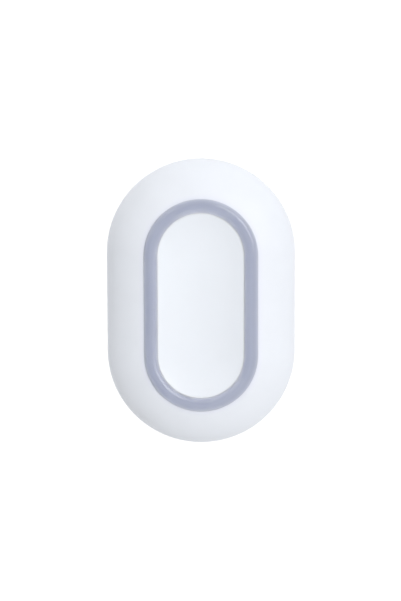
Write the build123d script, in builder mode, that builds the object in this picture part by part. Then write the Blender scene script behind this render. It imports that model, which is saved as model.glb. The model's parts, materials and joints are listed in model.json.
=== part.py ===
from build123d import *
import os
from math import acos, asin, cos, degrees, radians, sin, sqrt, tan

# Wireless panic button: a stadium-shaped pebble housing with a raised
# translucent ring round one large dished button. It lies on its back:
# z = 0 is the flat rear face, +Z points out of the button, +Y is the top of
# the device and the origin is the centre of its footprint. Millimetres.

os.makedirs("parts", exist_ok=True)

# ---------------------------------------------------------------- dimensions
WIDTH = 40.0  # across the widest line of the housing
LENGTH = 61.0  # along it
R_OUT = WIDTH / 2
HALF = (LENGTH - WIDTH) / 2  # half the straight run of the stadium

Z_PART = 5.5  # parting line, also the widest line
RING_TOP = 13.55  # top of the raised ring = overall thickness

# housing, radii are measured from the stadium's centre line
R_REAR_FLAT = 16.0  # flat rear face
R_RIM = 17.4  # inside of the rim of both shells
FLOOR = 2.3  # rear shell floor
DOME_B = 9.125  # height of the front dome's ellipse above the parting line
DOME_IN_A = 18.2
DOME_IN_B = 7.4
CEILING = 10.2  # flat inside ceiling of the front shell
SEAM_Z = 0.12  # both shells are bevelled at the parting line, so it reads as a fine groove
SEAM_R = 0.14

# light ring
RING_R_OUT = 12.0
RING_R_IN = 9.06
BEAD_CROWN = 3.0  # radius of the bead's crown
TURN_OUT = 11.0  # degrees of lean where the crown passes into the outer shoulder
TURN_IN = 4.0  # and into the inner one
SHOULDER_OUT = 1.1  # radius between the crown and the outer flank
SHOULDER_IN = 1.5  # and the inner one, which is broader
FLANK_OUT = 55.0  # degrees that the outer flank stands from level
FLANK_IN = 40.0  # and the inner one
RING_SEAT = 11.75  # ledge in the front shell that it sits on
RING_LIP = 12.79  # underside of the thin lip, which is the button's upper stop
SKIRT_IN = 9.95
SKIRT_OUT = 10.6
SKIRT_BOTTOM = 9.9
OPENING_R = 10.7
RECESS_R = 12.01

# button
BUTTON_R = 9.8  # guided inside the ring's skirt
DISH_R = 9.1  # the dish runs on just under the ring's lip
BUTTON_RIM = 12.77
BUTTON_DISH = 1.39
BUTTON_BOTTOM = 10.6
BUTTON_TRAVEL = 0.6

# circuit board and what stands on it
PCB_R = 16.2
PCB_Z0 = 6.0
PCB_Z1 = 7.0
LED_X = 11.25
LED_Y = 6.0

# screws, on a line 13.2 from the spine, 48 degrees round each end
SCREW_D = 13.2
SCREW_ANG = 48.0
SCREW_X = SCREW_D * cos(radians(SCREW_ANG))
SCREW_Y = HALF + SCREW_D * sin(radians(SCREW_ANG))
SCREWS = [(sx * SCREW_X, sy * SCREW_Y) for sx in (-1, 1) for sy in (-1, 1)]
BOSS_R = 2.1
SCREW_HEAD_R = 1.7
SCREW_R = 1.0

# battery door and cell
DOOR_Y = -5.0
DOOR_R = 13.9
DOOR_RECESS_R = 14.0
DOOR_RECESS_Z = 1.5
DOOR_FACE = 0.2
NECK_OUT = 11.3
NECK_IN = 10.3
NECK_TOP = 3.15
LUG_R = 12.4
LUG_Z0 = 2.35
LUG_ANG = 26.0
LUGS = (90.0, 210.0, 330.0)
DOOR_TURN = 45.0
NOTCH_ANG = 30.0
NOTCH_R = 12.55
CELL_R = 10.0
CELL_H = 3.2
CELL_Z0 = 1.8

# lanyard bar pocket in the rear face
BAR_Y = 16.0
POCKET_X = 9.5
POCKET_Y = 10.2
POCKET_Z = 3.6
BAR_R = 0.8
BAR_Z = 1.3

# tact switch
SW = 6.0
SW_TRAVEL = 0.3

END_PLANE = Plane.XZ.offset(-HALF)  # the section plane where the top end starts
TOP_AXIS = Axis((0, HALF, 0), (0, 0, 1))
BOT_AXIS = Axis((0, -HALF, 0), (0, 0, -1))


def stadium(section, mode=Mode.ADD):
    """Carries a section, drawn at y = +HALF in x = radius and z, right round:
    two straight runs and a half turn at each end."""
    faces = section.sketch
    other = mirror(faces, about=Plane.YZ, mode=Mode.PRIVATE)
    low = mirror(faces, about=Plane.XZ, mode=Mode.PRIVATE)
    extrude(faces, amount=2 * HALF, dir=(0, -1, 0), mode=mode)
    extrude(other, amount=2 * HALF, dir=(0, -1, 0), mode=mode)
    revolve(faces, axis=TOP_AXIS, revolution_arc=180, mode=mode)
    revolve(low, axis=BOT_AXIS, revolution_arc=180, mode=mode)


def save(part, name):
    part.label = name
    export_step(part, f"parts/{name}.step")


# ---------------------------------------------------------------- rear shell
with BuildSketch(END_PLANE) as rear_section:
    with BuildLine():
        a = Line((0, 0), (R_REAR_FLAT, 0))
        b = EllipticalCenterArc(
            (R_REAR_FLAT, Z_PART), R_OUT - R_REAR_FLAT, Z_PART, 270, arc_size=90 - degrees(asin(SEAM_Z / Z_PART))
        )
        Polyline(
            b @ 1,
            (R_OUT - SEAM_R, Z_PART),
            (19.0, Z_PART),
            (19.0, Z_PART - 0.6),
            (18.0, Z_PART - 0.6),
            (18.0, Z_PART),
            (R_RIM, Z_PART),
        )
        c = EllipticalCenterArc((15.2, Z_PART), R_RIM - 15.2, Z_PART - FLOOR, 270, arc_size=90)
        Polyline(c @ 0, (0, FLOOR), (0, 0))
    make_face()

# wedges about the door's axis, for the bayonet
with BuildSketch(Plane.XY) as notch_wedges:
    for ang in LUGS:
        n = radians(ang - DOOR_TURN)
        h = radians(NOTCH_ANG / 2)
        with BuildLine():
            Polyline(
                (0, DOOR_Y),
                (20 * cos(n - h), DOOR_Y + 20 * sin(n - h)),
                (20 * cos(n + h), DOOR_Y + 20 * sin(n + h)),
                (0, DOOR_Y),
            )
        make_face()

with BuildSketch(Plane.XY.offset(DOOR_RECESS_Z - 0.1)) as notches:
    with Locations((0, DOOR_Y)):
        Circle(NOTCH_R)
        Circle(11.0, mode=Mode.SUBTRACT)
    add(notch_wedges.sketch, mode=Mode.INTERSECT)


def door_block(ang_mid, ang_width, r0, r1):
    """A ring sector about the door's axis, as a list of its outline's points."""
    m, h = radians(ang_mid), radians(ang_width / 2)
    return [
        (r0 * cos(m - h), DOOR_Y + r0 * sin(m - h)),
        (r1 * cos(m - h), DOOR_Y + r1 * sin(m - h)),
        (r1 * cos(m + h), DOOR_Y + r1 * sin(m + h)),
        (r0 * cos(m + h), DOOR_Y + r0 * sin(m + h)),
    ]


with BuildPart() as rear_shell:
    stadium(rear_section)
    # pocket roof for the lanyard bar, inside
    with BuildSketch(Plane.XY.offset(FLOOR - 0.2)):
        with Locations((0, BAR_Y)):
            RectangleRounded(POCKET_X + 2.4, POCKET_Y + 2.4, 1.6)
    extrude(amount=POCKET_Z + 1.2 - FLOOR + 0.2)
    # screw bosses that carry the board
    with BuildSketch(Plane.XY.offset(FLOOR - 0.2)):
        with Locations(*SCREWS):
            Circle(BOSS_R)
    extrude(amount=PCB_Z0 - FLOOR + 0.2)
    # door recess, the hole that the cell passes through and the bayonet notches
    with Locations((0, DOOR_Y, 0)):
        Cylinder(DOOR_RECESS_R, DOOR_RECESS_Z, align=(Align.CENTER, Align.CENTER, Align.MIN), mode=Mode.SUBTRACT)
        Cylinder(NECK_OUT + 0.1, 4, align=(Align.CENTER, Align.CENTER, Align.MIN), mode=Mode.SUBTRACT)
    extrude(notches.sketch, amount=FLOOR - DOOR_RECESS_Z + 0.2, mode=Mode.SUBTRACT)
    # end stops for one lug, standing on the ledge
    for mid in (90 + LUG_ANG / 2 + 3.2, 90 - DOOR_TURN - LUG_ANG / 2 - 3.2):
        with BuildSketch(Plane.XY.offset(FLOOR - 0.1)):
            with BuildLine():
                pts = door_block(mid, 4.0, 11.6, 12.9)
                Polyline(*pts, pts[0])
            make_face()
        extrude(amount=0.9)
    # lanyard pocket and its bar
    with BuildSketch(Plane.XY):
        with Locations((0, BAR_Y)):
            RectangleRounded(POCKET_X, POCKET_Y, 0.5)
    extrude(amount=POCKET_Z, mode=Mode.SUBTRACT)
    with Locations((0, BAR_Y, BAR_Z)):
        Cylinder(BAR_R, POCKET_X + 0.6, rotation=(0, 90, 0))
    # screw holes with their head recesses
    with Locations(*[(x, y, 0) for x, y in SCREWS]):
        Cylinder(1.1, 7, align=(Align.CENTER, Align.CENTER, Align.MIN), mode=Mode.SUBTRACT)
        Cylinder(1.9, 1.5, align=(Align.CENTER, Align.CENTER, Align.MIN), mode=Mode.SUBTRACT)
    # moulded dots beside the door: locked, and open
    for ang in (90.0, 90.0 - DOOR_TURN):
        with Locations((14.9 * cos(radians(ang)), DOOR_Y + 14.9 * sin(radians(ang)), 0)):
            Cylinder(0.35, 0.2, align=(Align.CENTER, Align.CENTER, Align.MIN), mode=Mode.SUBTRACT)
    # lead-in round the rear edges
    chamfer(
        rear_shell.faces().sort_by(Axis.Z)[0].edges().filter_by(lambda e: e.geom_type == GeomType.CIRCLE and abs(e.radius - DOOR_RECESS_R) < 1e-3),
        length=0.2,
    )
save(rear_shell.part, "rear_shell")

# ------------------------------------------------------------ housing gasket
with BuildSketch(END_PLANE) as gasket_section:
    with Locations((18.5, Z_PART - 0.3)):
        RectangleRounded(0.9, 0.6, 0.2)
with BuildPart() as housing_gasket:
    stadium(gasket_section)
save(housing_gasket.part, "housing_gasket")

# --------------------------------------------------------------- front shell
T_SEAM = degrees(asin(SEAM_Z / DOME_B))
T_OUT = degrees(acos(RECESS_R / R_OUT))
T_IN0 = degrees(asin((CEILING - Z_PART) / DOME_IN_B))  # where the ceiling meets the dome
T_IN1 = degrees(acos(R_RIM / DOME_IN_A))
with BuildSketch(END_PLANE) as front_section:
    with BuildLine():
        outer = EllipticalCenterArc((0, Z_PART), R_OUT, DOME_B, T_SEAM, arc_size=T_OUT - T_SEAM)
        inner = EllipticalCenterArc((0, Z_PART), DOME_IN_A, DOME_IN_B, T_IN1, arc_size=T_IN0 - T_IN1)
        Polyline(
            outer @ 1,
            (RECESS_R, RING_SEAT),
            (OPENING_R, RING_SEAT),
            (OPENING_R, CEILING),
            inner @ 1,
        )
        Polyline(inner @ 0, (R_RIM, Z_PART), (R_OUT - SEAM_R, Z_PART), outer @ 0)
    make_face()

with BuildPart() as front_shell:
    stadium(front_section)
    with BuildSketch(Plane.XY.offset(PCB_Z1)):
        with Locations(*SCREWS):
            Circle(BOSS_R)
    extrude(amount=CEILING + 0.25 - PCB_Z1)
    with BuildSketch(Plane.XY.offset(PCB_Z1)):
        with Locations(*SCREWS):
            Circle(SCREW_R)
    extrude(amount=2.6, mode=Mode.SUBTRACT)
    # openings in the ledge for the ring's light guides
    with BuildSketch(Plane.XY.offset(CEILING - 0.2)):
        with Locations(*[(sx * LED_X, sy * LED_Y) for sx in (-1, 1) for sy in (-1, 1)]):
            Rectangle(1.3, 3.0)
    extrude(amount=RING_SEAT - CEILING + 0.2, mode=Mode.SUBTRACT)
save(front_shell.part, "front_shell")

# ---------------------------------------------------------------- light ring
RING_MID = (RING_R_IN + RING_R_OUT) / 2
turn = {1: radians(TURN_OUT), -1: radians(TURN_IN)}
shoulder = {1: SHOULDER_OUT, -1: SHOULDER_IN}


def on_crown(angle, side):
    """A point of the crown where the surface leans by this angle; side is 1 outwards, -1 inwards."""
    return (RING_MID + side * BEAD_CROWN * sin(angle), RING_TOP - BEAD_CROWN * (1 - cos(angle)))


def on_shoulder(angle, side):
    r, z = on_crown(turn[side], side)
    return (
        r + side * shoulder[side] * (sin(angle) - sin(turn[side])),
        z - shoulder[side] * (cos(turn[side]) - cos(angle)),
    )


def foot(angle, side, r_edge):
    """Where the straight flank, which leans by this angle, meets the edge of the ring."""
    r, z = on_shoulder(angle, side)
    return (r_edge, z - abs(r_edge - r) * tan(angle))


flank_out, flank_in = radians(FLANK_OUT), radians(FLANK_IN)
with BuildSketch(END_PLANE) as ring_section:
    with BuildLine():
        ThreePointArc(on_crown(turn[1], 1), on_crown(0, 1), on_crown(turn[-1], -1))
        for side, flank in ((1, flank_out), (-1, flank_in)):
            ThreePointArc(
                on_crown(turn[side], side),
                on_shoulder((flank + turn[side]) / 2, side),
                on_shoulder(flank, side),
            )
        Polyline(
            on_shoulder(flank_out, 1),
            foot(flank_out, 1, RING_R_OUT),
            (RING_R_OUT, RING_SEAT),
            (SKIRT_OUT, RING_SEAT),
            (SKIRT_OUT, SKIRT_BOTTOM),
            (SKIRT_IN, SKIRT_BOTTOM),
            (SKIRT_IN, RING_LIP),
            (RING_R_IN, RING_LIP),
            foot(flank_in, -1, RING_R_IN),
            on_shoulder(flank_in, -1),
        )
    make_face()
with BuildPart() as light_ring:
    stadium(ring_section)
    with BuildSketch(Plane.XY.offset(8.0)):
        with Locations(*[(sx * LED_X, sy * LED_Y) for sx in (-1, 1) for sy in (-1, 1)]):
            Rectangle(1.0, 2.6)
    extrude(amount=RING_SEAT + 0.3 - 8.0)
save(light_ring.part, "light_ring")

# ---------------------------------------------------------------- button cap
DISH_RAD = (DISH_R**2 + BUTTON_DISH**2) / (2 * BUTTON_DISH)
z_mid = BUTTON_RIM - BUTTON_DISH + DISH_RAD - sqrt(DISH_RAD**2 - (DISH_R / 2) ** 2)
with BuildSketch(END_PLANE) as cap_section:
    with BuildLine():
        dish = ThreePointArc((0, BUTTON_RIM - BUTTON_DISH), (DISH_R / 2, z_mid), (DISH_R, BUTTON_RIM))
        Polyline(
            dish @ 1,
            (BUTTON_R - 0.15, BUTTON_RIM),
            (BUTTON_R, BUTTON_RIM - 0.15),
            (BUTTON_R, BUTTON_BOTTOM),
            (8.0, BUTTON_BOTTOM),
            (8.0, BUTTON_BOTTOM + 0.45),
            (4.2, BUTTON_BOTTOM + 0.45),
            (4.2, BUTTON_BOTTOM),
            (0, BUTTON_BOTTOM),
            dish @ 0,
        )
    make_face()
with BuildPart() as button_cap:
    stadium(cap_section)
    # ribs across the cored-out channel under the cap
    with BuildSketch(Plane.XY.offset(BUTTON_BOTTOM)):
        with Locations((6.1, 0), (-6.1, 0), (6.1, HALF), (-6.1, HALF), (6.1, -HALF), (-6.1, -HALF)):
            Rectangle(4.2, 1.0)
        with Locations((0, HALF + 6.1), (0, -HALF - 6.1)):
            Rectangle(1.0, 4.2)
    extrude(amount=0.6)
save(button_cap.part, "button_cap")

# --------------------------------------------------- silicone seal under it
with BuildSketch(END_PLANE) as seal_section:
    with BuildLine():
        Polyline(
            (0, 9.3),
            (9.3, 9.3),
            (9.3, 9.2),
            (10.55, 9.2),
            (10.55, SKIRT_BOTTOM),
            (9.3, SKIRT_BOTTOM),
            (9.3, 9.8),
            (0, 9.8),
            (0, 9.3),
        )
    make_face()
with BuildPart() as button_seal:
    stadium(seal_section)
    with BuildSketch(Plane.XY.offset(9.7)):
        Circle(3.2)
    extrude(amount=BUTTON_BOTTOM - 9.7)
    with BuildSketch(Plane.XY.offset(9.15)):
        Circle(1.5)
    extrude(amount=0.3)
save(button_seal.part, "button_seal")

# -------------------------------------------- frame that clamps the seal
with BuildPart() as seal_frame:
    with BuildSketch(Plane.XY.offset(PCB_Z1)):
        SlotCenterToCenter(2 * HALF, 2 * 10.6, rotation=90)
        SlotCenterToCenter(2 * HALF, 2 * 9.3, rotation=90, mode=Mode.SUBTRACT)
    extrude(amount=9.2 - PCB_Z1)
    with BuildSketch(Plane.XY.offset(PCB_Z1 - 0.8)):
        with Locations((9.95, 2.5), (-9.95, 2.5), (9.95, -9.0), (-9.95, -9.0)):
            Circle(0.55)
    extrude(amount=1.0)
save(seal_frame.part, "seal_frame")

# --------------------------------------------------------------------- board
with BuildPart() as pcb:
    with BuildSketch(Plane.XY.offset(PCB_Z0)):
        SlotCenterToCenter(2 * HALF, 2 * PCB_R, rotation=90)
        with Locations(*SCREWS):
            Circle(1.15, mode=Mode.SUBTRACT)
        with Locations((9.95, 2.5), (-9.95, 2.5), (9.95, -9.0), (-9.95, -9.0)):
            Circle(0.6, mode=Mode.SUBTRACT)
    extrude(amount=PCB_Z1 - PCB_Z0)
save(pcb.part, "pcb")

# ---------------------------------------------------------------- tact switch
with BuildPart() as switch_base:
    with BuildSketch(Plane.XY.offset(PCB_Z1)):
        RectangleRounded(SW, SW, 0.4)
    extrude(amount=1.5)
    with BuildSketch(Plane.XY.offset(PCB_Z1 + 0.4)):
        Circle(2.2)
    extrude(amount=1.2, mode=Mode.SUBTRACT)
save(switch_base.part, "switch_base")

with BuildPart() as switch_cover:
    with BuildSketch(Plane.XY.offset(PCB_Z1 + 1.5)):
        Rectangle(SW + 0.3, SW - 0.4)
        Circle(1.85, mode=Mode.SUBTRACT)
    extrude(amount=0.15)
    with BuildSketch(Plane.XY.offset(PCB_Z1 + 0.4)):
        with Locations((SW / 2 + 0.075, 0), (-SW / 2 - 0.075, 0)):
            Rectangle(0.15, 2.4)
    extrude(amount=1.15)
save(switch_cover.part, "switch_cover")

with BuildSketch(Plane.XZ) as dome_section:
    with BuildLine():
        # stamped in conical steps
        Polyline(
            (0, 7.85),
            (0.6, 7.83),
            (1.3, 7.71),
            (2.0, 7.40),
            (1.86, 7.40),
            (1.24, 7.64),
            (0.56, 7.755),
            (0, 7.77),
            (0, 7.85),
        )
    make_face()
with BuildPart() as snap_dome:
    revolve(dome_section.sketch, axis=Axis.Z)
save(snap_dome.part, "snap_dome")

with BuildPart() as switch_plunger:
    with BuildSketch(Plane.XY.offset(7.85)):
        Circle(2.05)
    extrude(amount=0.6)
    with BuildSketch(Plane.XY.offset(8.3)):
        Circle(1.7)
    extrude(amount=9.15 - 8.3)
    chamfer(switch_plunger.faces().sort_by(Axis.Z)[-1].edges(), length=0.15)
save(switch_plunger.part, "switch_plunger")

with BuildPart() as switch_terminals:
    with BuildSketch(Plane.XY.offset(PCB_Z1)):
        with Locations(*[(sx * (SW / 2 + 0.65), sy * 2.2) for sx in (-1, 1) for sy in (-1, 1)]):
            Rectangle(1.3, 0.7)
    extrude(amount=0.15)
save(switch_terminals.part, "switch_terminals")

# -------------------------------------------------------- lamps and electronics
with BuildPart() as status_leds:
    with BuildSketch(Plane.XY.offset(PCB_Z1)):
        with Locations(*[(sx * LED_X, sy * LED_Y) for sx in (-1, 1) for sy in (-1, 1)]):
            Rectangle(0.8, 1.6)
    extrude(amount=0.35)
    with BuildSketch(Plane.XY.offset(PCB_Z1 + 0.3)):
        with Locations(*[(sx * LED_X, sy * LED_Y) for sx in (-1, 1) for sy in (-1, 1)]):
            Rectangle(0.8, 1.1)
    extrude(amount=0.4, taper=12)
save(status_leds.part, "status_leds")

with BuildPart() as radio_chip:
    with BuildSketch(Plane.XY.offset(PCB_Z1)):
        with Locations((-2.4, 12.0)):
            Rectangle(5.0, 5.0)
    extrude(amount=0.85)
    chamfer(radio_chip.faces().sort_by(Axis.Z)[-1].edges(), length=0.08)
save(radio_chip.part, "radio_chip")

with BuildPart() as crystal:
    with BuildSketch(Plane.XY.offset(PCB_Z1)):
        with Locations((3.2, 13.2)):
            RectangleRounded(2.5, 2.0, 0.2)
    extrude(amount=0.55)
save(crystal.part, "crystal")

with BuildPart() as rf_shield:
    with BuildSketch(Plane.XY.offset(PCB_Z1)):
        with Locations((0, 12.0)):
            RectangleRounded(12.0, 9.6, 0.5)
    extrude(amount=1.6)
    with BuildSketch(Plane.XY.offset(PCB_Z1)):
        with Locations((0, 12.0)):
            RectangleRounded(11.6, 9.2, 0.3)
    extrude(amount=1.4, mode=Mode.SUBTRACT)
    with BuildSketch(Plane.XY.offset(PCB_Z1 + 1.3)):
        with Locations((0, 12.0)):
            with GridLocations(3.0, 2.6, 3, 3):
                Circle(0.45)
    extrude(amount=0.4, mode=Mode.SUBTRACT)
save(rf_shield.part, "rf_shield")

with BuildPart() as chip_passives:
    with BuildSketch(Plane.XY.offset(PCB_Z1)):
        with Locations((0, -9.5)):
            with GridLocations(2.4, 1.6, 4, 3):
                Rectangle(1.0, 0.5)
        with Locations((-6.6, -6.0), (6.6, -6.0)):
            Rectangle(0.8, 1.6)
    extrude(amount=0.5)
    with BuildSketch(Plane.XY.offset(PCB_Z1)):
        with Locations((0, -14.6)):
            Rectangle(3.2, 1.6)
    extrude(amount=1.3)
save(chip_passives.part, "chip_passives")

# stamped antenna strip, standing on two legs above the board's top end
with BuildPart() as antenna:
    with BuildSketch(Plane.XY.offset(9.0)):
        with Locations((0, 23.6)):
            Rectangle(12.0, 1.8)
    extrude(amount=0.2)
    with BuildSketch(Plane.XY.offset(PCB_Z1)):
        with Locations((-5.9, 23.6), (-2.4, 23.6)):
            Rectangle(0.2, 1.4)
    extrude(amount=2.1)
save(antenna.part, "antenna")

# ---------------------------------------------------------------- coin cell
with BuildSketch(Plane.XZ) as can_section:
    with BuildLine():
        Polyline(
            (0, CELL_Z0),
            (CELL_R - 0.25, CELL_Z0),
            (CELL_R, CELL_Z0 + 0.25),
            (CELL_R, CELL_Z0 + 2.85),
            (CELL_R - 0.2, CELL_Z0 + 3.0),
            (9.3, CELL_Z0 + 3.0),
            (9.3, CELL_Z0 + 2.8),
            (9.7, CELL_Z0 + 2.75),
            (9.7, CELL_Z0 + 0.3),
            (0, CELL_Z0 + 0.3),
            (0, CELL_Z0),
        )
    make_face()
with BuildPart(Plane((0, DOOR_Y, 0))) as cell_can:
    revolve(can_section.sketch.moved(Location((0, DOOR_Y, 0))), axis=Axis((0, DOOR_Y, 0), (0, 0, 1)))
save(cell_can.part, "cell_can")

with BuildSketch(Plane.XZ.offset(-DOOR_Y)) as grommet_section:
    with BuildLine():
        Polyline(
            (9.0, CELL_Z0 + 0.3),
            (9.7, CELL_Z0 + 0.3),
            (9.7, CELL_Z0 + 2.75),
            (9.3, CELL_Z0 + 2.8),
            (9.3, CELL_Z0 + 3.05),
            (9.0, CELL_Z0 + 3.05),
            (9.0, CELL_Z0 + 0.3),
        )
    make_face()
with BuildPart() as cell_grommet:
    revolve(grommet_section.sketch, axis=Axis((0, DOOR_Y, 0), (0, 0, 1)))
save(cell_grommet.part, "cell_grommet")

with BuildPart() as cell_cap:
    with BuildSketch(Plane.XY.offset(CELL_Z0 + 0.3)):
        with Locations((0, DOOR_Y)):
            Circle(9.0)
    extrude(amount=CELL_H - 0.3)
    fillet(cell_cap.faces().sort_by(Axis.Z)[-1].edges(), radius=0.12)
save(cell_cap.part, "cell_cap")

# holder ring and the two sprung contacts on the back of the board
with BuildPart() as cell_holder:
    with BuildSketch(Plane.XY.offset(3.35)):
        with Locations((0, DOOR_Y)):
            Circle(11.5)
            Circle(10.35, mode=Mode.SUBTRACT)
        with Locations((11, DOOR_Y), (0, DOOR_Y - 11)):
            Rectangle(5, 5.2, mode=Mode.SUBTRACT)
    extrude(amount=PCB_Z0 - 3.35)
    # web that joins the arcs under the board
    with BuildSketch(Plane.XY.offset(5.3)):
        with Locations((0, DOOR_Y)):
            Circle(11.5)
            Circle(10.35, mode=Mode.SUBTRACT)
        with Locations((11, DOOR_Y)):
            Rectangle(5, 5.2, mode=Mode.SUBTRACT)
    extrude(amount=PCB_Z0 - 5.3)
save(cell_holder.part, "cell_holder")

with BuildPart() as positive_contact:
    with BuildSketch(Plane.XZ.offset(2.0 - DOOR_Y)):
        with BuildLine():
            Polyline(
                (10.02, 3.45),
                (10.17, 3.45),
                (10.17, 5.85),
                (13.0, 5.85),
                (13.0, PCB_Z0),
                (10.02, PCB_Z0),
                (10.02, 3.45),
            )
        make_face()
    extrude(amount=4.0, dir=(0, 1, 0))
save(positive_contact.part, "positive_contact")

with BuildPart() as negative_contact:
    with BuildSketch(Plane.XZ.offset(1.5 - DOOR_Y)):
        with BuildLine():
            Polyline(
                (-8.8, PCB_Z0),
                (-5.8, PCB_Z0),
                (1.5, 5.13),
                (3.0, 5.43),
                (3.03, 5.31),
                (1.5, CELL_Z0 + CELL_H),
                (-5.82, 5.88),
                (-8.8, 5.88),
                (-8.8, PCB_Z0),
            )
        make_face()
    extrude(amount=3.0, dir=(0, 1, 0))
save(negative_contact.part, "negative_contact")

# -------------------------------------------------------------- battery door
with BuildSketch(Plane.XZ.offset(-DOOR_Y)) as door_section:
    with BuildLine():
        Polyline(
            (0, DOOR_FACE),
            (DOOR_R - 0.2, DOOR_FACE),
            (DOOR_R, DOOR_FACE + 0.2),
            (DOOR_R, DOOR_RECESS_Z - 0.05),
            (13.5, DOOR_RECESS_Z - 0.05),
            (13.5, 1.0),
            (12.7, 1.0),
            (12.7, DOOR_RECESS_Z - 0.05),
            (NECK_OUT, DOOR_RECESS_Z - 0.05),
            (NECK_OUT, NECK_TOP),
            (NECK_IN, NECK_TOP),
            (NECK_IN, DOOR_RECESS_Z),
            (0, DOOR_RECESS_Z),
            (0, DOOR_FACE),
        )
    make_face()

with BuildSketch(Plane.XY) as lug_wedges:
    for ang in LUGS:
        n = radians(ang)
        h = radians(LUG_ANG / 2)
        with BuildLine():
            Polyline(
                (0, DOOR_Y),
                (20 * cos(n - h), DOOR_Y + 20 * sin(n - h)),
                (20 * cos(n + h), DOOR_Y + 20 * sin(n + h)),
                (0, DOOR_Y),
            )
        make_face()
with BuildSketch(Plane.XY.offset(LUG_Z0)) as lugs:
    with Locations((0, DOOR_Y)):
        Circle(LUG_R)
        Circle(NECK_IN + 0.5, mode=Mode.SUBTRACT)
    add(lug_wedges.sketch, mode=Mode.INTERSECT)

with BuildPart() as battery_door:
    revolve(door_section.sketch, axis=Axis((0, DOOR_Y, 0), (0, 0, 1)))
    extrude(lugs.sketch, amount=NECK_TOP - LUG_Z0)
    # coin slot
    with BuildSketch(Plane.XY.offset(DOOR_FACE)):
        with Locations((0, DOOR_Y)):
            SlotOverall(13.5, 2.0)
    extrude(amount=0.9, mode=Mode.SUBTRACT)
    # moulded pointer at the rim
    with BuildSketch(Plane.XY.offset(DOOR_FACE)):
        with BuildLine():
            Polyline(
                (0, DOOR_Y + 12.9), (-0.8, DOOR_Y + 11.6), (0.8, DOOR_Y + 11.6), (0, DOOR_Y + 12.9)
            )
        make_face()
    extrude(amount=0.2, mode=Mode.SUBTRACT)
save(battery_door.part, "battery_door")

with BuildSketch(Plane.XZ.offset(-DOOR_Y)) as o_ring_section:
    with Locations((13.1, 1.25)):
        Ellipse(0.38, 0.25)
with BuildPart() as door_o_ring:
    revolve(o_ring_section.sketch, axis=Axis((0, DOOR_Y, 0), (0, 0, 1)))
save(door_o_ring.part, "door_o_ring")

with BuildPart() as cell_pad:
    with BuildSketch(Plane.XY.offset(DOOR_RECESS_Z)):
        with Locations((0, DOOR_Y)):
            Circle(7.5)
    extrude(amount=CELL_Z0 - DOOR_RECESS_Z)
save(cell_pad.part, "cell_pad")

# -------------------------------------------------------------- housing screws
with BuildPart() as housing_screws:
    with BuildSketch(Plane.XY.offset(0.4)):
        with Locations(*SCREWS):
            Circle(SCREW_HEAD_R)
    extrude(amount=1.1)
    fillet(
        housing_screws.edges().filter_by(lambda e: e.geom_type == GeomType.CIRCLE and abs(e.center().Z - 0.4) < 1e-3),
        radius=0.35,
    )
    with BuildSketch(Plane.XY.offset(1.4)):
        with Locations(*SCREWS):
            Circle(SCREW_R)
    extrude(amount=9.2 - 1.4)
    # cross recess
    with BuildSketch(Plane.XY.offset(0.4)):
        with Locations(*SCREWS):
            Rectangle(1.9, 0.5)
            Rectangle(0.5, 1.9)
    extrude(amount=0.7, taper=8, mode=Mode.SUBTRACT)
save(housing_screws.part, "housing_screws")
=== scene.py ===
import bmesh
import bpy
import json
import math
from mathutils import Matrix, Vector


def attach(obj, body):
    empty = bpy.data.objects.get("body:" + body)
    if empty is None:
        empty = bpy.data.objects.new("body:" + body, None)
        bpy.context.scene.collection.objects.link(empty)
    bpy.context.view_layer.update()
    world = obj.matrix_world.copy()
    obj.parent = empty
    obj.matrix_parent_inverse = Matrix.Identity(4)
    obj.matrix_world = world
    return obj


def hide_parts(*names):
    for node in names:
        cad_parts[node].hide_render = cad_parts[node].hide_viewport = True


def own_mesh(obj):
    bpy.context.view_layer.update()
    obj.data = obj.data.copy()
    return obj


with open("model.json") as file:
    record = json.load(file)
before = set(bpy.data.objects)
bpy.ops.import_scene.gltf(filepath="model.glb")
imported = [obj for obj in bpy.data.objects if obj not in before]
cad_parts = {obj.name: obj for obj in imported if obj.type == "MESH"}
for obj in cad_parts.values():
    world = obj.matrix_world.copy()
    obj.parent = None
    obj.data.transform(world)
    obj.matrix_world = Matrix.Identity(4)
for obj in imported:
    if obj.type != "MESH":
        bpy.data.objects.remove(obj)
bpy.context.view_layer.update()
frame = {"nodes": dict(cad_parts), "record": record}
nodes = frame["nodes"]
scene = bpy.context.scene


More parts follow.
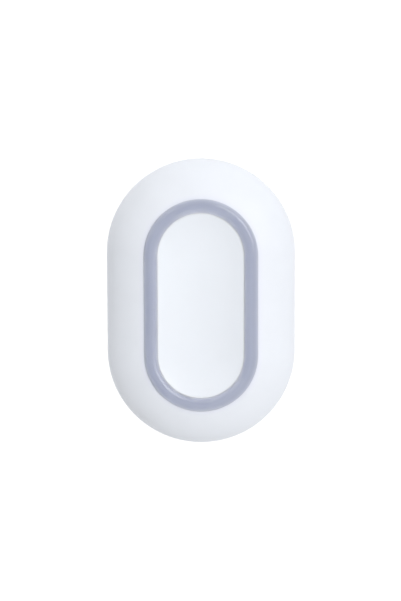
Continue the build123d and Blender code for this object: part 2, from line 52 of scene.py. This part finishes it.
# ------------------------------------------------------------------ materials
class Mat:
    """A node material with one Principled shader, patterned in the frame's own
    metres, so that every detail has its real size."""

    def __init__(self, name, **sockets):
        self.m = bpy.data.materials.new(name)
        self.m.use_nodes = True
        self.t = self.m.node_tree
        self.n = self.t.nodes
        self.b = self.n["Principled BSDF"]
        self.out = self.n["Material Output"]
        for k, v in sockets.items():
            self.b.inputs[k.replace("_", " ")].default_value = v
        self.co = self.n.new("ShaderNodeTexCoord").outputs["Object"]

    def link(self, a, b):
        self.t.links.new(a, b)

    def scaled(self, sx, sy, sz):
        mp = self.n.new("ShaderNodeMapping")
        mp.inputs["Scale"].default_value = (sx, sy, sz)
        self.link(self.co, mp.inputs["Vector"])
        return mp.outputs["Vector"]

    def noise(self, scale, detail=2.0, rough=0.5, vec=None, distortion=0.0):
        t = self.n.new("ShaderNodeTexNoise")
        t.inputs["Scale"].default_value = scale
        t.inputs["Detail"].default_value = detail
        t.inputs["Roughness"].default_value = rough
        t.inputs["Distortion"].default_value = distortion
        self.link(vec if vec is not None else self.co, t.inputs["Vector"])
        return t.outputs["Fac"]

    def voronoi(self, scale, feature="F1", vec=None, out="Distance"):
        t = self.n.new("ShaderNodeTexVoronoi")
        t.feature = feature
        t.inputs["Scale"].default_value = scale
        self.link(vec if vec is not None else self.co, t.inputs["Vector"])
        return t.outputs[out]

    def wave(self, scale, axis="X", profile="SIN", vec=None, distortion=0.0, kind="BANDS"):
        t = self.n.new("ShaderNodeTexWave")
        t.wave_type = kind
        if kind == "BANDS":
            t.bands_direction = axis
        else:
            t.rings_direction = axis
        t.wave_profile = profile
        t.inputs["Scale"].default_value = scale
        t.inputs["Distortion"].default_value = distortion
        self.link(vec if vec is not None else self.co, t.inputs["Vector"])
        return t.outputs["Fac"]

    def ramp(self, fac, stops, mode="LINEAR"):
        r = self.n.new("ShaderNodeValToRGB")
        r.color_ramp.interpolation = mode
        e = r.color_ramp.elements
        while len(e) > 1:
            e.remove(e[-1])
        e[0].position, e[0].color = stops[0][0], (*stops[0][1], 1)
        for p, c in stops[1:]:
            q = e.new(p)
            q.color = (*c, 1)
        self.link(fac, r.inputs["Fac"])
        return r.outputs["Color"]

    def span(self, fac, lo, hi, a=0.0, b=1.0):
        r = self.n.new("ShaderNodeMapRange")
        r.inputs["From Min"].default_value = a
        r.inputs["From Max"].default_value = b
        r.inputs["To Min"].default_value = lo
        r.inputs["To Max"].default_value = hi
        self.link(fac, r.inputs["Value"])
        return r.outputs["Result"]

    def math(self, op, a, b=None, clamp=False):
        n = self.n.new("ShaderNodeMath")
        n.operation = op
        n.use_clamp = clamp
        for i, v in enumerate((a, b)):
            if v is None:
                continue
            if isinstance(v, (int, float)):
                n.inputs[i].default_value = v
            else:
                self.link(v, n.inputs[i])
        return n.outputs[0]

    def mix(self, fac, a, b, blend="MIX"):
        n = self.n.new("ShaderNodeMix")
        n.data_type = "RGBA"
        n.blend_type = blend
        for i, v in ((0, fac), (6, a), (7, b)):
            if isinstance(v, (int, float)):
                n.inputs[i].default_value = v
            elif isinstance(v, tuple):
                n.inputs[i].default_value = (*v, 1)
            else:
                self.link(v, n.inputs[i])
        return n.outputs[2]

    def xyz(self):
        s = self.n.new("ShaderNodeSeparateXYZ")
        self.link(self.co, s.inputs[0])
        return s.outputs

    def from_spine(self, half):
        """Distance from the line that joins the centres of the stadium's two round ends."""
        x, y, z = self.xyz()
        past = self.math("MAXIMUM", self.math("SUBTRACT", self.math("ABSOLUTE", y), half), 0.0)
        return self.math("SQRT", self.math("ADD", self.math("MULTIPLY", x, x), self.math("MULTIPLY", past, past)))

    def bump(self, height, strength, distance, below=None):
        b = self.n.new("ShaderNodeBump")
        b.inputs["Strength"].default_value = strength
        b.inputs["Distance"].default_value = distance
        self.link(height, b.inputs["Height"])
        if below is not None:
            self.link(below, b.inputs["Normal"])
        return b.outputs["Normal"]

    def toward_up(self, share):
        """The surface's normal, leant towards +Z by this share."""
        g = self.n.new("ShaderNodeNewGeometry").outputs["Normal"]
        steps = []
        for op, value in (("SCALE", 1.0 - share), ("ADD", (0.0, 0.0, share)), ("NORMALIZE", None)):
            n = self.n.new("ShaderNodeVectorMath")
            n.operation = op
            self.link(steps[-1] if steps else g, n.inputs[0])
            if op == "SCALE":
                n.inputs["Scale"].default_value = value
            elif op == "ADD":
                n.inputs[1].default_value = value
            steps.append(n.outputs["Vector"])
        return steps[-1]

    def set(self, socket, value):
        self.link(value, self.b.inputs[socket])
        return self


def spark_plastic(name, color, rough, grain=5200.0, depth=0.000006, mottle=0.012, subsurface=0.0, specular=0.5):
    """Moulded plastic with a fine spark-eroded skin."""
    m = Mat(name, Roughness=rough, IOR=1.49, Specular_IOR_Level=specular, Subsurface_Weight=subsurface, Subsurface_Scale=0.0008)
    m.b.inputs["Subsurface Radius"].default_value = (1.0, 0.95, 0.9)
    cloud = m.noise(160.0, 3.0, 0.55)
    fine = m.noise(grain, 2.0, 0.6)
    dark = tuple(c * (1 - mottle) for c in color)
    light = tuple(min(1.0, c * (1 + mottle * 0.6)) for c in color)
    m.set("Base Color", m.ramp(cloud, [(0.3, dark), (0.5, color), (0.72, light)]))
    m.set("Roughness", m.span(m.math("ADD", m.math("MULTIPLY", cloud, 0.5), m.math("MULTIPLY", fine, 0.5)), rough - 0.07, rough + 0.07, 0.3, 0.7))
    m.set("Normal", m.bump(fine, 0.35, depth))
    return m


def sheet_metal(name, color, rough, along=(1, 40, 40), scale=220.0):
    """Stamped or rolled strip: fine lines along one way, faint handling marks."""
    m = Mat(name, Metallic=1.0, Roughness=rough)
    lines = m.noise(scale, 3.0, 0.6, vec=m.scaled(*along))
    marks = m.noise(900.0, 4.0, 0.6)
    dark = tuple(c * 0.86 for c in color)
    m.set("Base Color", m.ramp(marks, [(0.25, dark), (0.6, color)]))
    m.set("Roughness", m.span(lines, rough - 0.08, rough + 0.12, 0.3, 0.7))
    m.set("Normal", m.bump(lines, 0.25, 0.00001))
    return m


def soft_rubber(name, color, rough=0.6, subsurface=0.0):
    m = Mat(name, Roughness=rough, IOR=1.42, Subsurface_Weight=subsurface, Subsurface_Scale=0.001)
    cloud = m.noise(420.0, 3.0, 0.6)
    fine = m.noise(6500.0, 2.0, 0.6)
    m.set("Base Color", m.ramp(cloud, [(0.3, tuple(c * 0.86 for c in color)), (0.7, color)]))
    m.set("Roughness", m.span(cloud, rough - 0.08, rough + 0.1, 0.3, 0.7))
    m.set("Normal", m.bump(fine, 0.3, 0.000008))
    return m


HALF, RING_IN, RING_OUT = 0.0105, 0.00906, 0.0120
WHITE = (0.811, 0.840, 0.894)
shell = spark_plastic("shell_white", WHITE, 0.5, subsurface=0.06, specular=0.2)
# the same plastic in front, with painted shade beside the ring: the shell is made darker and bluer right next to
# it, standing in for the ring's contact shadow and the blue light it passes on
front = spark_plastic("shell_white_front_painted_shade", WHITE, 0.5, subsurface=0.06, specular=0.2)
painted_shade_beside_ring = front.ramp(front.span(front.from_spine(HALF), 0.0, 1.0, RING_OUT, 0.0132), [
    (0.0, (0.952, 0.954, 0.994)), (0.33, (0.975, 0.972, 1.0)), (0.66, (0.993, 0.988, 1.0)), (1.0, (1.0, 1.0, 1.0))])
front.set("Base Color", front.mix(1.0, front.b.inputs["Base Color"].links[0].from_socket, painted_shade_beside_ring, "MULTIPLY"))
button = spark_plastic("button_white", (0.802, 0.835, 0.884), 0.38, grain=7000.0, depth=0.000003, mottle=0.008, subsurface=0.06, specular=0.3)

# The ring is a smoky clear plastic over a pale bed: what shows through it is lit
# much as the bed is, whichever way the surface above leans, and the gloss lies
# on the real surface. Its colour is palest towards both edges: partly the thin lip
# over the white rim of the button, partly painted glow and painted reflection that stand in
# for light passing through the ring and glancing off its steep flanks. "across" runs from the inner edge (0) to the
# outer (1).
RING_FLAT = 0.85
ring = Mat("ring_smoke", Roughness=0.5, IOR=1.5, Specular_IOR_Level=0.0, Coat_Weight=1.0, Coat_Roughness=0.27, Coat_IOR=1.6, Subsurface_Weight=1.0, Subsurface_Scale=0.0006)
ring.b.inputs["Subsurface Radius"].default_value = (1.0, 1.0, 1.1)
across = ring.span(ring.from_spine(HALF), 0.0, 1.0, RING_IN, RING_OUT)
# paler towards both edges: partly the thin lip, partly painted glow and painted reflection
thin_edges_and_painted_glow = ring.ramp(across, [
    (0.0, (0.717, 0.741, 0.871)), (0.05, (0.614, 0.646, 0.782)), (0.12, (0.503, 0.533, 0.655)), (0.22, (0.439, 0.471, 0.583)),
    (0.35, (0.42, 0.452, 0.563)), (0.5, (0.423, 0.456, 0.569)), (0.7, (0.407, 0.438, 0.546)),
    (0.82, (0.425, 0.456, 0.564)), (0.92, (0.507, 0.540, 0.656)), (1.0, (0.648, 0.682, 0.811))])
cloud = ring.noise(240.0, 3.0, 0.5)
fine = ring.noise(5200.0, 2.0, 0.6)
haze = ring.ramp(cloud, [(0.3, (0.965, 0.965, 0.975)), (0.7, (1.0, 1.0, 1.0))])
ring.set("Base Color", ring.mix(1.0, thin_edges_and_painted_glow, haze, "MULTIPLY"))
ring.set("Roughness", ring.span(cloud, 0.45, 0.55, 0.3, 0.7))
ring.set("Normal", ring.toward_up(RING_FLAT))
ring.set("Coat Normal", ring.bump(fine, 0.15, 0.000002))

mats = {
    "shell_white": shell.m,
    "button_white": button.m,
    "ring_smoke": ring.m,
    "silicone": soft_rubber("silicone", (0.62, 0.64, 0.66), 0.5, 0.2).m,
    "seal_rubber": soft_rubber("seal_rubber", (0.02, 0.02, 0.022), 0.55).m,
    "foam": soft_rubber("foam", (0.03, 0.03, 0.032), 0.9).m,
    "frame_black": spark_plastic("frame_black", (0.02, 0.02, 0.022), 0.5, mottle=0.1).m,
    "board": spark_plastic("board", (0.01, 0.10, 0.045), 0.32, grain=3000.0, mottle=0.1).m,
    "steel": sheet_metal("steel", (0.62, 0.61, 0.60), 0.26).m,
    "spring_metal": sheet_metal("spring_metal", (0.83, 0.66, 0.38), 0.25).m,
    "tinned_metal": sheet_metal("tinned_metal", (0.7, 0.7, 0.68), 0.3).m,
    "plunger_plastic": spark_plastic("plunger_plastic", (0.03, 0.03, 0.033), 0.42, mottle=0.1).m,
    "led_package": spark_plastic("led_package", (0.75, 0.7, 0.5), 0.3, mottle=0.05, subsurface=0.2).m,
    "chip_epoxy": spark_plastic("chip_epoxy", (0.015, 0.015, 0.016), 0.55, mottle=0.1).m,
    "chip_ceramic": spark_plastic("chip_ceramic", (0.3, 0.2, 0.12), 0.4, mottle=0.1).m,
    "grommet_plastic": spark_plastic("grommet_plastic", (0.05, 0.05, 0.055), 0.5, mottle=0.1).m,
    "screw_steel": sheet_metal("screw_steel", (0.56, 0.56, 0.55), 0.28).m,
}
for sub in frame["record"]["subparts"]:
    o = nodes[sub["node"]]
    o.data.materials.clear()
    o.data.materials.append(mats[sub["material_slot"]])
nodes["front_shell"].data.materials[0] = front.m


# ------------------------------------------ inner pieces that give under the button
SPINE = 10.5  # half of the line that joins the centres of the two round ends, in mm
TURN = [2 * math.pi * i / 144 for i in range(144)]


def circle(r, z):
    """Points round the button's axis, in metres from millimetres."""
    if r == 0:
        return [(0.0, 0.0, z / 1000)]
    return [(r * math.cos(t) / 1000, r * math.sin(t) / 1000, z / 1000) for t in TURN]


def slot_line(r, z):
    """The stadium at distance r from the spine, seen from its centre in the same directions."""
    points = []
    for t in TURN:
        c, s = math.cos(t), math.sin(t)
        if abs(s) * r <= SPINE * abs(c):
            reach = r / abs(c)
        else:
            reach = abs(s) * SPINE + math.sqrt(r * r - (SPINE * c) ** 2)
        points.append((reach * c / 1000, reach * s / 1000, z / 1000))
    return points


def skin(name, rings, slot, wrap=False):
    """A closed solid whose skin runs through these rings of points."""
    bm = bmesh.new()
    rows = [[bm.verts.new(p) for p in ring] for ring in rings]
    for low, high in zip(rows, rows[1:] + rows[:1] if wrap else rows[1:]):
        count = max(len(low), len(high))
        for i in range(count):
            j = (i + 1) % count
            bm.faces.new(
                ([low[0]] if len(low) == 1 else [low[i], low[j]])
                + ([high[0]] if len(high) == 1 else [high[j], high[i]])
            )
    bmesh.ops.recalc_face_normals(bm, faces=bm.faces)
    mesh = bpy.data.meshes.new(name)
    bm.to_mesh(mesh)
    bm.free()
    for face in mesh.polygons:
        face.use_smooth = True
    mesh.set_sharp_from_angle(angle=math.radians(30))
    mesh.materials.append(mats[slot])
    o = bpy.data.objects.new(name, mesh)
    scene.collection.objects.link(o)
    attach(o, "housing")
    return o


# the silicone seal: its web and clamped rim stay, the pad in its middle gives
web = skin("seal_web", [
    circle(3.2, 9.3), slot_line(9.3, 9.3), slot_line(9.3, 9.2), slot_line(10.55, 9.2), slot_line(10.55, 9.9),
    slot_line(9.3, 9.9), slot_line(9.3, 9.8), circle(3.2, 9.8)], "silicone", wrap=True)
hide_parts("button_seal")
pad = skin("seal_pad", [
    circle(0, 9.15), circle(1.4, 9.15), circle(1.5, 9.2), circle(1.5, 9.3), circle(3.2, 9.3),
    circle(3.2, 10.5), circle(3.1, 10.6), circle(0, 10.6)], "silicone")
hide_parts("button_seal")
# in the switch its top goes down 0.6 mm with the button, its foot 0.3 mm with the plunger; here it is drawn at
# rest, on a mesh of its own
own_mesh(pad)
# the snap dome, drawn at rest on a mesh of its own; the plunger flattens it in the switch
dome = skin("dome_spring", [
    circle(0, 7.85), circle(0.6, 7.83), circle(1.3, 7.71), circle(2.0, 7.40), circle(1.86, 7.40),
    circle(1.24, 7.64), circle(0.56, 7.755), circle(0, 7.77)], "spring_metal")
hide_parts("snap_dome")
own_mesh(dome)

# ---------------------------------------------------------- floor, light, camera
floor_mesh = bpy.data.meshes.new("floor")
s = 3.0
floor_mesh.from_pydata([(-s, -s, 0), (s, -s, 0), (s, s, 0), (-s, s, 0)], [], [(0, 1, 2, 3)])
floor = bpy.data.objects.new("floor", floor_mesh)
scene.collection.objects.link(floor)
fm = Mat("floor_white", Roughness=0.9)
fm.b.inputs["Base Color"].default_value = (0.12, 0.12, 0.12, 1)
fm.b.inputs["Specular IOR Level"].default_value = 0.0
fm.b.inputs["Emission Color"].default_value = (1, 1, 1, 1)
fm.b.inputs["Emission Strength"].default_value = 1.0
floor_mesh.materials.append(fm.m)

world = bpy.data.worlds.new("studio")
scene.world = world
world.use_nodes = True
bg = world.node_tree.nodes["Background"]
bg.inputs["Color"].default_value = (0.087, 0.087, 0.087, 1)
bg.inputs["Strength"].default_value = 1.0
# past the floor's edge the picture shows plain white paper, which lights nothing
wt = world.node_tree
paper = wt.nodes.new("ShaderNodeBackground")
paper.inputs["Color"].default_value = (1, 1, 1, 1)
seen = wt.nodes.new("ShaderNodeLightPath")
either = wt.nodes.new("ShaderNodeMixShader")
wt.links.new(seen.outputs["Is Camera Ray"], either.inputs[0])
wt.links.new(bg.outputs[0], either.inputs[1])
wt.links.new(paper.outputs[0], either.inputs[2])
wt.links.new(either.outputs[0], wt.nodes["World Output"].inputs["Surface"])


def area(name, azimuth, elevation, distance, width, height, power, color=(1, 1, 1)):
    """A softbox, its width level; azimuth is measured from +X towards +Y."""
    a, e = math.radians(azimuth), math.radians(elevation)
    d = Vector((math.cos(e) * math.cos(a), math.cos(e) * math.sin(a), math.sin(e)))
    data = bpy.data.lights.new(name, "AREA")
    data.shape = "RECTANGLE"
    data.size = width
    data.size_y = height
    data.energy = power
    data.color = color
    o = bpy.data.objects.new(name, data)
    o.location = d * distance
    o.rotation_euler = (-d).to_track_quat("-Z", "Y").to_euler()
    scene.collection.objects.link(o)
    return o


area("key", 33, 54, 0.8, 0.6, 0.3, 3.227)
area("fill_upper_left", 135, 50, 1.5, 1.2, 1.2, 8.993)
area("fill_lower_right", 315, 50, 1.5, 2.0, 2.0, 9.843)
area("low_top", 90, 25, 1.5, 1.2, 1.2, 3.52)
area("low_bottom", 270, 25, 1.5, 1.2, 1.2, 4.441)

TILT, YAW, ROLL = math.radians(7.85), math.radians(0.287), math.radians(0.14)
DIST = 0.430
target = Vector((-0.000115, 0.000192, 0.0055))
cam_data = bpy.data.cameras.new("camera")
cam_data.sensor_width = 36.0
cam_data.sensor_fit = "AUTO"
cam_data.lens = 120.76
cam_data.clip_start = 0.01
cam = bpy.data.objects.new("camera", cam_data)
back = Vector((math.sin(YAW) * math.cos(TILT), math.sin(TILT), math.cos(YAW) * math.cos(TILT)))
level = Vector((0, 1, 0)) - back * back.y
level.normalize()
up = level * math.cos(ROLL) + level.cross(back) * math.sin(ROLL)
cam.location = target + back * DIST
cam.rotation_euler = Matrix((up.cross(back), up, back)).transposed().to_euler()
scene.collection.objects.link(cam)
scene.camera = cam

scene.view_settings.view_transform = "Standard"
scene.view_settings.look = "None"
scene.view_settings.exposure = 0.0
scene.view_settings.gamma = 1.0
